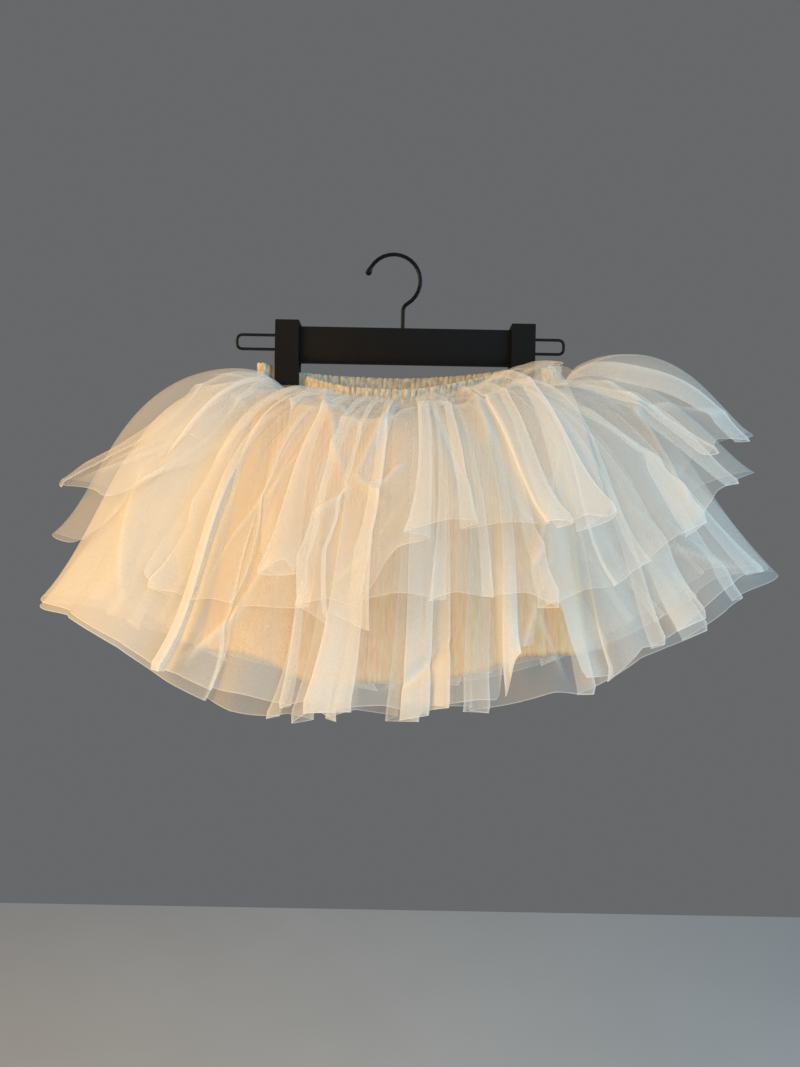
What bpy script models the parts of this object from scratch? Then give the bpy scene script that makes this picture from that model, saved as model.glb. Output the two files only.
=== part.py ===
"""A child's tulle skirt held by a clip hanger.

Metres, +Z up, origin at the inner top of the hook, where it hangs. -Y is the front.
The tables are in millimetres. Round the skirt, a turn of 0 is the +X side, 0.25 the
front, 0.5 the -X side and 0.75 the back.
"""

import math
from collections import namedtuple

import bmesh
import bpy
import numpy as np

MM = 0.001

# Sizes that drive the rest, in mm
CLEAR = 0.3
CLOTH_WALL = 1.15
BAND_WALL = 1.6
BAND_HEIGHT = 22.0
BAND_GATHERS = 90
BAND_GATHER_DEPTH = 0.9
# How far from a clip the gathers begin, and over what length they reach their full depth
GATHER_EASE = (2.0, 6.0)
# Half the distance between the band's front and back walls inside a clip
PINCH = 1.5

# Seams: how far below the band the lining starts, and how far out of it and of each other the tiers start
SEAM_DROP = 0.9
SEAM_STAND = 2.7
STACK_PITCH = 1.85
CLIP_STAND = 2.0
CLIP_EASE = 8.0

# Tiers: columns round the skirt, how far the cloth runs straight out of the seam, and the room between tiers
COLUMNS = 96
NORMAL_REACH = {"front": 20.0, "back": 13.0}
END_TURN = 0.03
SEAM_CURVE = 2
LAYER_ROOM = 2.4
NEAR_SEAM = 14.0
PLEAT_STEEPNESS = 1.5
STEEPEST_PLEAT = 1.3
COLUMN_SPACING = 28.0

# The back, where the tiers lie flat one behind another
BACK_SHEET = 20.0
BACK_PITCH = 4.0
BACK_WAVE = 1.2
BACK_SETTLE = 45.0
BACK_HALF_TURN = 0.19
SIDE_BLEND_TURN = 0.06

# Where the band runs: the middle of its wall in plan, and its top edge. The two clips pinch it flat
Seat = namedtuple("Seat", "x y top")
WAIST = [
    Seat(150.0, 0.0, -98.0),
    Seat(141.0, -8.0, -99.0),
    Seat(126.5, -PINCH, -101.0),
    Seat(104.0, -PINCH, -103.0),
    Seat(75.0, -14.0, -112.0),
    Seat(40.0, -26.0, -122.0),
    Seat(4.0, -31.0, -127.0),
    Seat(-34.0, -27.0, -125.0),
    Seat(-66.0, -14.0, -117.0),
    Seat(-86.0, -PINCH, -109.0),
    Seat(-109.0, -PINCH, -103.0),
    Seat(-117.5, -6.0, -101.0),
    Seat(-124.0, 0.0, -99.5),
    Seat(-117.5, 6.0, -101.0),
    Seat(-109.0, PINCH, -103.0),
    Seat(-86.0, PINCH, -107.0),
    Seat(-50.0, 9.0, -108.5),
    Seat(4.0, 12.0, -109.0),
    Seat(60.0, 9.0, -106.0),
    Seat(104.0, PINCH, -102.0),
    Seat(126.5, PINCH, -101.0),
    Seat(141.0, 8.0, -99.0),
]
WAIST_LEFT_ROW = 12

# The hem's outline in plan, which sets the way that each slice of the skirt runs
HEM_MIDDLE = (6.0, -30.0)
HEM_HALF_WIDTH = 322.0
HEM_FRONT_DEPTH = 115.0
HEM_BACK_DEPTH = 48.0
HEM_SQUARENESS = 0.72

# Each tier by station round the skirt: its reach from the seam, its slope at the hem and at the seam
STATIONS = ("right", "right_front", "front", "left_front", "left", "left_back", "back", "right_back")
TIERS = {
    "lining": {
        "reach": (237, 236, 229, 238, 239, 243, 245, 243),
        "hem_slope": (-84, -82, -82.7, -80, -79.3, -86, -88.8, -87),
        "seam_slope": (-82, -82, -82, -82, -82, -84, -86, -84),
        "rows": (0, 60, 150),
        "waves": 14,
        "wave_depth": 3.0,
        "uneven": 0.3,
        "shift": 0.1,
    },
    "tulle_4_long_inner": {
        "reach": (247, 269, 255, 274, 268, 268, 262, 262),
        "hem_slope": (-43, -59, -67.5, -61, -47, -58, -88, -57),
        "seam_slope": (-8, -12, -15, -12, -8, -45, -70, -45),
        "rows": (0, 14, 36, 74, 122, 190),
        "waves": 24,
        "wave_depth": 9.5,
        "uneven": 0.45,
        "shift": 0.0,
    },
    "tulle_3_long_outer": {
        "reach": (236, 266, 256, 270, 264, 264, 260, 258),
        "hem_slope": (-40, -55.5, -64, -57, -44, -55.5, -87, -54),
        "seam_slope": (12, 10, 5, 10, 12, -32, -62, -32),
        "rows": (0, 14, 36, 74, 122, 190),
        "waves": 24,
        "wave_depth": 11.0,
        "uneven": 0.5,
        "shift": 0.37,
    },
    "tulle_2_middle": {
        "reach": (182, 218, 195, 213, 223, 222, 214, 215),
        "hem_slope": (-27, -46, -52.5, -53, -38, -53.5, -85.5, -52),
        "seam_slope": (38, 32, 25, 32, 40, -15, -52, -15),
        "rows": (0, 14, 36, 74, 122),
        "waves": 24,
        "wave_depth": 11.0,
        "uneven": 0.5,
        "shift": 0.62,
    },
    "tulle_1_outer": {
        "reach": (170, 189, 168, 201, 189, 205, 206, 195),
        "hem_slope": (-16, -30, -42, -47, -29, -50, -83.5, -48),
        "seam_slope": (70, 58, 45, 58, 70, 5, -40, 5),
        "rows": (0, 14, 36, 74, 122),
        "waves": 24,
        "wave_depth": 11.0,
        "uneven": 0.5,
        "shift": 0.2,
    },
}

# The largest folds: where they are, how wide, how far out of the tier they stand and how much lower they reach
Fold = namedtuple("Fold", "tier turn width out longer")
FOLDS = [
    Fold("tulle_1_outer", 0.000, 0.030, 6.0, 0.0),
    Fold("tulle_1_outer", 0.150, 0.014, 9.0, 12.0),
    Fold("tulle_1_outer", 0.235, 0.014, 5.0, 7.0),
    Fold("tulle_1_outer", 0.278, 0.018, 4.0, 26.0),
    Fold("tulle_1_outer", 0.340, 0.020, 6.0, 4.0),
    Fold("tulle_1_outer", 0.470, 0.020, 5.0, 3.0),
    Fold("tulle_2_middle", 0.100, 0.014, 8.0, 9.0),
    Fold("tulle_2_middle", 0.172, 0.012, 6.0, 9.0),
    Fold("tulle_2_middle", 0.378, 0.014, 8.0, 6.0),
    Fold("tulle_2_middle", 0.425, 0.014, 6.0, 4.0),
    Fold("tulle_3_long_outer", 0.110, 0.014, 6.0, 6.0),
    Fold("tulle_3_long_outer", 0.155, 0.012, 8.0, 8.0),
    Fold("tulle_3_long_outer", 0.190, 0.016, -6.0, -10.0),
    Fold("tulle_3_long_outer", 0.245, 0.012, 9.0, 8.0),
    Fold("tulle_3_long_outer", 0.267, 0.008, -8.0, 0.0),
    Fold("tulle_3_long_outer", 0.292, 0.012, 9.0, 5.0),
    Fold("tulle_3_long_outer", 0.375, 0.010, 8.0, 6.0),
    Fold("tulle_4_long_inner", 0.130, 0.012, 6.0, 4.0),
    Fold("tulle_4_long_inner", 0.330, 0.014, 6.0, 3.0),
    Fold("tulle_4_long_inner", 0.440, 0.014, 6.0, 3.0),
]

# Hook
WIRE_RADIUS = 1.8
HOOK_RADIUS = 24.2
HOOK_MIDDLE_X = -2.5
HOOK_TIP_ANGLE = 162.0
HOOK_BALL_RADIUS = 3.0
SHANK_X = 6.3
SHANK_BEND = 8.0

# Bar
BAR_LEFT = -96.8
BAR_RIGHT = 105.8
BAR_TOP = -66.8
BAR_FACE_BOTTOM = -92.2
BAR_BOTTOM = -98.5
BAR_HALF_DEPTH = 7.0
BAR_LIP_HALF_DEPTH = 4.2
BAR_EDGE = 0.8

# Wire loops past the bar's ends
LOOP_WIRE_RADIUS = 1.35
LOOP_REACH = 48.8
LOOP_TOP = -73.75
LOOP_BOTTOM = -86.65
LOOP_CORNER = 4.5

# Clips
CLIP_WIDTH = 21.5
CLIP_MIDDLES = {"left": -97.5, "right": 115.2}
CLIP_TOP = -61.8
CLIP_BOTTOM = -119.5
CLIP_HALF_DEPTH = 10.8
CLIP_SHOULDER = -96.0
CLIP_NECK = -104.0
CLIP_SPLIT = -75.0
JAW_TOP = -102.0
JAW_OUTER = 4.8

MATERIALS = {
    "tulle": {"colour": (0.86, 0.81, 0.72), "roughness": 0.85, "metallic": 0.0},
    "lining": {"colour": (0.80, 0.70, 0.55), "roughness": 0.9, "metallic": 0.0},
    "band": {"colour": (0.80, 0.77, 0.66), "roughness": 0.8, "metallic": 0.0},
    "wire": {"colour": (0.02, 0.02, 0.022), "roughness": 0.4, "metallic": 0.6},
    "plastic": {"colour": (0.018, 0.018, 0.02), "roughness": 0.55, "metallic": 0.0},
}


def clear_scene():
    for ob in list(bpy.data.objects):
        bpy.data.objects.remove(ob, do_unlink=True)


def material(name):
    made = bpy.data.materials.get(name)
    if made is None:
        made = bpy.data.materials.new(name)
        made.use_nodes = True
        shader = made.node_tree.nodes["Principled BSDF"]
        look = MATERIALS[name]
        shader.inputs["Base Color"].default_value = (*look["colour"], 1.0)
        shader.inputs["Roughness"].default_value = look["roughness"]
        shader.inputs["Metallic"].default_value = look["metallic"]
    return made


def add_object(name, points_mm, faces, finish, smooth=True):
    """One named object from points in mm, its faces turned outward."""
    mesh = bpy.data.meshes.new(name)
    mesh.from_pydata([tuple(p * MM for p in point) for point in points_mm], [], faces)
    form = bmesh.new()
    form.from_mesh(mesh)
    bmesh.ops.recalc_face_normals(form, faces=form.faces)
    form.to_mesh(mesh)
    form.free()
    if smooth:
        mesh.shade_smooth()
        mesh.set_sharp_from_angle(angle=math.radians(35))
    mesh.materials.append(material(finish))
    ob = bpy.data.objects.new(name, mesh)
    bpy.context.scene.collection.objects.link(ob)
    return ob


def smooth_loop(stations, values, turns):
    """Values at the given turns, on a closed curve through the stations that never overshoots them."""
    at = np.append(stations, stations[0] + 1.0)
    height = np.vstack([values, values[:1]])
    width = np.diff(at)[:, None]
    rise = np.diff(height, axis=0) / width
    before = np.roll(rise, 1, axis=0)
    same = before * rise > 0
    total = np.where(same, before + rise, 1.0)
    tangent = np.where(same, 2 * before * rise / total, 0.0)
    tangent = np.vstack([tangent, tangent[:1]])
    place = (np.asarray(turns) - at[0]) % 1.0 + at[0]
    i = np.clip(np.searchsorted(at, place, side="right") - 1, 0, len(width) - 1)
    t = ((place - at[i]) / width[i, 0])[:, None]
    start = (1 + 2 * t) * (1 - t) ** 2 * height[i] + t * (1 - t) ** 2 * width[i] * tangent[i]
    end = t**2 * (3 - 2 * t) * height[i + 1] + t**2 * (t - 1) * width[i] * tangent[i + 1]
    return start + end


def by_length(points, left_row):
    """Turns for the rows of a closed outline: half a turn by length to left_row, and half back."""
    steps = np.linalg.norm(np.diff(np.vstack([points, points[:1]]), axis=0), axis=1)
    along = np.concatenate([[0.0], np.cumsum(steps)])
    front = along[: left_row + 1] / along[left_row] * 0.5
    back = 0.5 + (along[left_row:] - along[left_row]) / (along[-1] - along[left_row]) * 0.5
    return np.concatenate([front, back[1:-1]])


def waist(turns):
    """The band's mid wall and top edge at the given turns, as rows of x, y and z."""
    table = np.array(WAIST)
    return smooth_loop(by_length(table[:, :2], WAIST_LEFT_ROW), table, turns)


def hem_outline(turns):
    """The hem's outline in plan at the given turns, evenly by length over each half."""
    steps = 400
    angle = np.linspace(0.0, 2 * math.pi, 2 * steps, endpoint=False)
    across = np.sign(np.cos(angle)) * np.abs(np.cos(angle)) ** HEM_SQUARENESS
    deep = -np.sign(np.sin(angle)) * np.abs(np.sin(angle)) ** HEM_SQUARENESS
    depth = np.where(deep < 0, HEM_FRONT_DEPTH, HEM_BACK_DEPTH)
    points = np.column_stack([HEM_MIDDLE[0] + HEM_HALF_WIDTH * across, HEM_MIDDLE[1] + depth * deep])
    at = np.append(by_length(points, steps), 1.0)
    closed = np.vstack([points, points[:1]])
    return np.column_stack([np.interp(turns, at, closed[:, 0]), np.interp(turns, at, closed[:, 1])])


def start_way(turns):
    """The way that the cloth leaves the seam in plan: to the side at the band's ends, else front or back."""
    from_side = np.abs((np.asarray(turns) + 0.25) % 0.5 - 0.25)
    t = np.clip(from_side / END_TURN, 0.0, 1.0)
    angle = 0.5 * math.pi * t * t * (3 - 2 * t)
    side = np.where(np.abs(turns - 0.5) < 0.25, -1.0, 1.0)
    face = np.where(turns < 0.5, -1.0, 1.0)
    return np.column_stack([side * np.cos(angle), face * np.sin(angle)])


def station_values(row, turns):
    values = np.array(row, dtype=float)[:, None]
    return smooth_loop(np.arange(len(STATIONS)) / len(STATIONS), values, turns)[:, 0]


def front_share(turns):
    """1 at the front and the sides, falling to 0 over the back, where the cloth is pressed flat."""
    from_back = np.abs(turns - 0.75)
    t = np.clip((from_back - BACK_HALF_TURN) / SIDE_BLEND_TURN, 0.0, 1.0)
    return t * t * (3 - 2 * t)


def wave(tier, turns):
    """The tier's pleats as steep-sided waves of uneven width and depth, in mm at the hem."""
    wander = 0.5 * tier["uneven"] * np.sin(2 * math.pi * (5 * turns + tier["shift"]))
    wander += 0.3 * tier["uneven"] * np.sin(2 * math.pi * (11 * turns + 2.7 * tier["shift"]))
    phase = 2 * math.pi * (tier["waves"] * turns + tier["shift"] + wander)
    swing = np.clip(PLEAT_STEEPNESS * np.sin(phase), -1, 1)
    uneven = 1 + tier["uneven"] * np.sin(2 * math.pi * (7 * turns + 3 * tier["shift"]))
    return swing * uneven * tier["wave_depth"] * front_share(turns)


def folds(name, turns):
    """The sum of the tier's largest folds: how far out and how much longer."""
    out = np.zeros(len(turns))
    longer = np.zeros(len(turns))
    for fold in FOLDS:
        if fold.tier == name:
            off = (turns - fold.turn + 0.5) % 1.0 - 0.5
            bump = np.exp(-((off / fold.width) ** 2))
            out += fold.out * bump
            longer += fold.longer * bump
    return out, longer


def tier_slopes(name, turns, below):
    """Rows of reach and slope for each slice of a tier, kept clear of the tier below."""
    tier = TIERS[name]
    out, longer = folds(name, turns)
    reach = station_values(tier["reach"], turns) + longer
    hem = np.radians(station_values(tier["hem_slope"], turns))
    seam = np.radians(station_values(tier["seam_slope"], turns))
    pleats = wave(tier, turns)
    rows = len(tier["rows"]) + 1
    radius = np.zeros((len(turns), rows))
    slope = np.zeros((len(turns), rows))
    for row in range(rows):
        radius[:, row] = tier["rows"][row] if row < rows - 1 else reach
        t = np.clip(radius[:, row] / reach, 0.0, 1.0)
        lift = pleats * t + out * t
        slope[:, row] = hem + (seam - hem) * (1 - t) ** SEAM_CURVE + lift / reach
    if below is not None:
        for row in range(1, rows):
            lower = zip(radius[:, row], below["radius"], below["slope"])
            floor = np.array([np.interp(reach_here, reaches, slopes) for reach_here, reaches, slopes in lower])
            rise = np.abs(np.roll(slope[:, row], -1) - np.roll(slope[:, row], 1)) * radius[:, row]
            steep = np.clip(rise / COLUMN_SPACING, 0.0, STEEPEST_PLEAT)
            room = LAYER_ROOM * np.sqrt(1 + steep**2)
            slope[:, row] = np.maximum(slope[:, row], floor + room / np.maximum(radius[:, row], NEAR_SEAM))
    return radius, slope


def seam_place(turns, place, below):
    """How far out from the band's mid wall, and how far up from its lower edge, a tier's seam lies."""
    if place == 0:
        return np.zeros(len(turns)), np.zeros(len(turns))
    if place == 1:
        near = np.min([np.abs(waist(turns)[:, 0] - x) for x in CLIP_MIDDLES.values()], axis=0)
        by_clip = np.clip((CLIP_WIDTH - near) / CLIP_EASE, 0.0, 1.0)
        return SEAM_STAND + CLIP_STAND * by_clip, np.zeros(len(turns))
    lower = below["slope"][:, 1]
    step_out = STACK_PITCH * np.maximum(0.0, -np.sin(lower))
    step_up = (STACK_PITCH + step_out * np.sin(lower)) / np.cos(lower)
    return below["out"] + step_out, below["up"] + step_up


def band_normal(turns):
    """The way straight out of the band's wall in plan."""
    ahead = waist((turns + 0.001) % 1.0)[:, :2] - waist((turns - 0.001) % 1.0)[:, :2]
    outward = np.column_stack([-ahead[:, 1], ahead[:, 0]])
    return outward / np.linalg.norm(outward, axis=1)[:, None]


def slice_points(turns, place, radius, slope, out, up):
    """The tier's middle surface: columns round the skirt by rows from seam to hem, in mm."""
    seat = waist(turns)
    stand = band_normal(turns) * out[:, None]
    way_out = start_way(turns)
    sheet = BACK_SHEET + BACK_PITCH * place
    sheet = sheet + BACK_WAVE * np.where(np.arange(len(turns)) % 4 < 2, 1.0, -1.0)
    start_reach = NORMAL_REACH["back"] + (NORMAL_REACH["front"] - NORMAL_REACH["back"]) * front_share(turns)
    to_hem = hem_outline(turns) - seat[:, :2]
    to_hem /= np.linalg.norm(to_hem, axis=1)[:, None]
    points = np.zeros((*radius.shape, 3))
    for row in range(radius.shape[1]):
        level = radius[:, row] * np.cos(slope[:, row])
        first = start_reach * (1 - np.exp(-level / start_reach))
        plan = seat[:, :2] + stand + way_out * first[:, None] + to_hem * (level - first)[:, None]
        if place > 0:
            settle = np.clip(radius[:, row] / BACK_SETTLE, 0.0, 1.0)
            lay = (1 - front_share(turns)) * settle * settle * (3 - 2 * settle)
            plan[:, 1] += (sheet - plan[:, 1]) * lay
        points[:, row, :2] = plan
        points[:, row, 2] = seat[:, 2] - BAND_HEIGHT - SEAM_DROP + up + radius[:, row] * np.sin(slope[:, row])
    return points


def surface_normals(points):
    """Unit normals of a closed loop of columns, from its neighbours each way."""
    round_way = np.roll(points, -1, axis=0) - np.roll(points, 1, axis=0)
    down_way = np.gradient(points, axis=1)
    normal = np.cross(round_way, down_way)
    return normal / np.linalg.norm(normal, axis=2)[:, :, None]


def cloth_wall(name, middle, wall, finish):
    """A closed wall of the given thickness on a surface that goes round, open at the top and the hem."""
    columns, rows = middle.shape[:2]
    offset = surface_normals(middle) * wall / 2
    outer = (middle + offset).reshape(-1, 3)
    inner = (middle - offset).reshape(-1, 3)
    shift = columns * rows
    faces = []
    for i in range(columns):
        n = (i + 1) % columns
        for j in range(rows - 1):
            a, b = i * rows + j, n * rows + j
            faces += [(a, b, b + 1), (a, b + 1, a + 1)]
            faces += [(a + shift, b + 1 + shift, b + shift), (a + shift, a + 1 + shift, b + 1 + shift)]
        a, b = i * rows, n * rows
        faces += [(a, a + shift, b + shift), (a, b + shift, b)]
        a, b = a + rows - 1, b + rows - 1
        faces += [(a, b, b + shift), (a, b + shift, a + shift)]
    return add_object(name, np.vstack([outer, inner]).tolist(), faces, finish)


def make_waistband():
    """The ruched band: a wall folded into gathers, pressed flat inside the clips."""
    turns = np.arange(2 * BAND_GATHERS) / (2 * BAND_GATHERS)
    seat = waist(turns)
    outward = band_normal(turns)
    free = np.ones(len(turns))
    for middle in CLIP_MIDDLES.values():
        from_clip = np.abs(seat[:, 0] - middle) - CLIP_WIDTH / 2
        free = np.minimum(free, np.clip((from_clip - GATHER_EASE[0]) / GATHER_EASE[1], 0.0, 1.0))
    fold = np.where(np.arange(len(turns)) % 2 == 0, 1.0, -1.0) * BAND_GATHER_DEPTH * free
    middle = np.zeros((len(turns), 3, 3))
    for row, (down, full) in enumerate(((0.0, 1.0), (0.5, 0.7), (1.0, 1.0))):
        middle[:, row, :2] = seat[:, :2] + outward * (fold * full)[:, None]
        middle[:, row, 2] = seat[:, 2] - down * BAND_HEIGHT
    return cloth_wall("waistband", middle, BAND_WALL, "band")


def make_tiers():
    turns = np.arange(COLUMNS) / COLUMNS
    below = None
    for place, name in enumerate(TIERS):
        radius, slope = tier_slopes(name, turns, below)
        out, up = seam_place(turns, place, below)
        middle = slice_points(turns, place, radius, slope, out, up)
        cloth_wall(name, middle, CLOTH_WALL, "lining" if name == "lining" else "tulle")
        below = {"radius": radius, "slope": slope, "out": out, "up": up}


def arc(middle, radius, first, last, steps):
    """Points x, z on an arc, angles in degrees."""
    return [
        (middle[0] + radius * math.cos(math.radians(a)), middle[1] + radius * math.sin(math.radians(a)))
        for a in np.linspace(first, last, steps)
    ]


def wire_tube(name, path, radii, sides, finish):
    """A round wire in the plane y = 0 along points x, z, closed at both ends."""
    points = []
    line = np.array(path)
    ways = np.gradient(line, axis=0)
    ways /= np.linalg.norm(ways, axis=1)[:, None]
    for (x, z), (ax, az), radius in zip(line, ways, radii):
        for side in range(sides):
            angle = 2 * math.pi * side / sides
            out = radius * math.cos(angle)
            points.append((x - az * out, radius * math.sin(angle), z + ax * out))
    faces = []
    for ring in range(len(path) - 1):
        for side in range(sides):
            a, b = ring * sides + side, ring * sides + (side + 1) % sides
            faces.append((a, b, b + sides, a + sides))
    faces.append(tuple(reversed(range(sides))))
    faces.append(tuple(range((len(path) - 1) * sides, len(path) * sides)))
    return add_object(name, points, faces, finish)


def make_hook():
    """The wire from its ball tip over the top and down into the bar."""
    middle = (HOOK_MIDDLE_X, WIRE_RADIUS - HOOK_RADIUS)
    bend_x = SHANK_X + SHANK_BEND
    reach = HOOK_RADIUS + SHANK_BEND
    drop = math.sqrt(reach**2 - (bend_x - middle[0]) ** 2)
    join = math.degrees(math.atan2(-drop, bend_x - middle[0]))
    main = arc(middle, HOOK_RADIUS, HOOK_TIP_ANGLE, join, 19)
    bend = arc((bend_x, middle[1] - drop), SHANK_BEND, 180 + join, 180, 5)
    tip, after = np.array(main[0]), np.array(main[1])
    back = (tip - after) / np.linalg.norm(tip - after)
    ball_path = []
    ball_radii = []
    for angle in (8, 35, 65, 90, 115):
        ball_path.append(tuple(tip + back * HOOK_BALL_RADIUS * math.cos(math.radians(angle))))
        ball_radii.append(HOOK_BALL_RADIUS * math.sin(math.radians(angle)))
    shank = [(SHANK_X, BAR_TOP + CLEAR)]
    wire = main[1:] + bend[1:] + shank
    wire_tube("hanger_hook", ball_path + wire, ball_radii + [WIRE_RADIUS] * len(wire), 10, "wire")


def make_wire_loops():
    for name, end, side in (("left", BAR_LEFT, -1), ("right", BAR_RIGHT, 1)):
        start = end + side * CLEAR
        turn = end + side * (LOOP_REACH - LOOP_WIRE_RADIUS - LOOP_CORNER)
        path = [(start, LOOP_TOP)]
        for corner, first, last in ((LOOP_TOP - LOOP_CORNER, 90, 0), (LOOP_BOTTOM + LOOP_CORNER, 0, -90)):
            for x, z in arc((0, corner), LOOP_CORNER, first, last, 4):
                path.append((turn + side * x, z))
        path.append((start, LOOP_BOTTOM))
        wire_tube(f"wire_loop_{name}", path, [LOOP_WIRE_RADIUS] * len(path), 8, "wire")


def extruded(name, outline, left, right, finish):
    """A prism along X from an outline of y, z points."""
    count = len(outline)
    points = [(x, y, z) for x in (left, right) for y, z in outline]
    faces = [tuple(range(count)), tuple(reversed(range(count, 2 * count)))]
    for i in range(count):
        n = (i + 1) % count
        faces.append((i, i + count, n + count, n))
    return add_object(name, points, faces, finish, smooth=False)


def make_bar():
    outline = [
        (-BAR_HALF_DEPTH, BAR_TOP),
        (-BAR_HALF_DEPTH, BAR_FACE_BOTTOM),
        (-BAR_LIP_HALF_DEPTH, BAR_BOTTOM),
        (BAR_LIP_HALF_DEPTH, BAR_BOTTOM),
        (BAR_HALF_DEPTH, BAR_FACE_BOTTOM),
        (BAR_HALF_DEPTH, BAR_TOP),
    ]
    bar = extruded("hanger_bar", outline, BAR_LEFT, BAR_RIGHT, "plastic")
    edge = bar.modifiers.new("edge", "BEVEL")
    edge.width = BAR_EDGE * MM
    edge.segments = 2
    edge.limit_method = "ANGLE"
    edge.angle_limit = math.radians(25)


def make_clips():
    """Each clip: a saddle over the bar that runs down into the front jaw, and a back jaw behind."""
    bore = BAR_HALF_DEPTH + CLEAR
    grip = PINCH + BAND_WALL / 2 + CLEAR
    jaw = [
        (CLIP_HALF_DEPTH, CLIP_SHOULDER),
        (JAW_OUTER, CLIP_NECK),
        (JAW_OUTER, CLIP_BOTTOM),
        (grip, CLIP_BOTTOM),
        (grip, JAW_TOP),
        (bore, BAR_BOTTOM),
    ]
    front = [(-y, z) for y, z in jaw]
    saddle = front + [(-bore, BAR_TOP + CLEAR), (bore, BAR_TOP + CLEAR), (bore, CLIP_SPLIT)]
    saddle += [(CLIP_HALF_DEPTH, CLIP_SPLIT), (CLIP_HALF_DEPTH, CLIP_TOP), (-CLIP_HALF_DEPTH, CLIP_TOP)]
    back = jaw + [(bore, CLIP_SPLIT - CLEAR), (CLIP_HALF_DEPTH, CLIP_SPLIT - CLEAR)]
    for side, middle in CLIP_MIDDLES.items():
        left, right = middle - CLIP_WIDTH / 2, middle + CLIP_WIDTH / 2
        extruded(f"clip_{side}", saddle, left, right, "plastic")
        extruded(f"clip_{side}_jaw", back, left, right, "plastic")


clear_scene()
make_hook()
make_bar()
make_wire_loops()
make_clips()
make_waistband()
make_tiers()
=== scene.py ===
"""The looks of a child's tulle skirt on a clip hanger: folded net, crinkled lining, ruched band, hanger.

The forms repeat the frame's own sizes in millimetres. Round the skirt, a turn of 0 is the +X side,
0.25 the front, 0.5 the -X side and 0.75 the back. A share of 0 is the seam and 1 the hem.
"""

import math
from collections import namedtuple

import bmesh
import bpy
import numpy as np
from mathutils import Matrix, Vector


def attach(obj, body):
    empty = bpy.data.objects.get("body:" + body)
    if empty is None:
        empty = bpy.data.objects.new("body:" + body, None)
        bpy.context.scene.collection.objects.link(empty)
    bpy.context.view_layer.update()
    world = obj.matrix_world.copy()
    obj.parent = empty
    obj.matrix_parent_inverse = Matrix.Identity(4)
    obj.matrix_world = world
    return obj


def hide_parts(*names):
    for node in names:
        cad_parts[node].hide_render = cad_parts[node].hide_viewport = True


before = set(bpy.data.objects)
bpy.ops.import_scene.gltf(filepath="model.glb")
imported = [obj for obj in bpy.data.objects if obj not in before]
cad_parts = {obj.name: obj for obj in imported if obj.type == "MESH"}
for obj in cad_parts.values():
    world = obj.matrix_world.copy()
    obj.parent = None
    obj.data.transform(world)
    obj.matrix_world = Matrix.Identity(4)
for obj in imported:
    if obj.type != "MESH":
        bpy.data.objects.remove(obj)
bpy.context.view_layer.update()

MM = 0.001
TAU = 2 * math.pi

# The band and the seam, as in the frame
BAND_HEIGHT = 22.0
PINCH = 1.5
SEAM_DROP = 0.9
SEAM_STAND = 2.7
STACK_PITCH = 1.85
CLIP_STAND = 2.0
CLIP_EASE = 8.0
CLIP_WIDTH = 21.5
CLIP_MIDDLES = {"left": -97.5, "right": 115.2}
NORMAL_STEP = 0.001
NORMAL_REACH = {"front": 20.0, "back": 13.0}
END_TURN = 0.03
BACK_SHEET = 20.0
BACK_PITCH = 4.0
BACK_SETTLE = 45.0
BACK_HALF_TURN = 0.19
SIDE_BLEND_TURN = 0.06

Seat = namedtuple("Seat", "x y top")
WAIST = [
    Seat(150.0, 0.0, -98.0),
    Seat(141.0, -8.0, -99.0),
    Seat(126.5, -PINCH, -101.0),
    Seat(104.0, -PINCH, -103.0),
    Seat(75.0, -14.0, -112.0),
    Seat(40.0, -26.0, -122.0),
    Seat(4.0, -31.0, -127.0),
    Seat(-34.0, -27.0, -125.0),
    Seat(-66.0, -14.0, -117.0),
    Seat(-86.0, -PINCH, -109.0),
    Seat(-109.0, -PINCH, -103.0),
    Seat(-117.5, -6.0, -101.0),
    Seat(-124.0, 0.0, -99.5),
    Seat(-117.5, 6.0, -101.0),
    Seat(-109.0, PINCH, -103.0),
    Seat(-86.0, PINCH, -107.0),
    Seat(-50.0, 9.0, -108.5),
    Seat(4.0, 12.0, -109.0),
    Seat(60.0, 9.0, -106.0),
    Seat(104.0, PINCH, -102.0),
    Seat(126.5, PINCH, -101.0),
    Seat(141.0, 8.0, -99.0),
]
WAIST_LEFT_ROW = 12

HEM_MIDDLE = (6.0, -30.0)
HEM_HALF_WIDTH = 322.0
HEM_FRONT_DEPTH = 115.0
HEM_BACK_DEPTH = 48.0
HEM_SQUARENESS = 0.72

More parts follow.
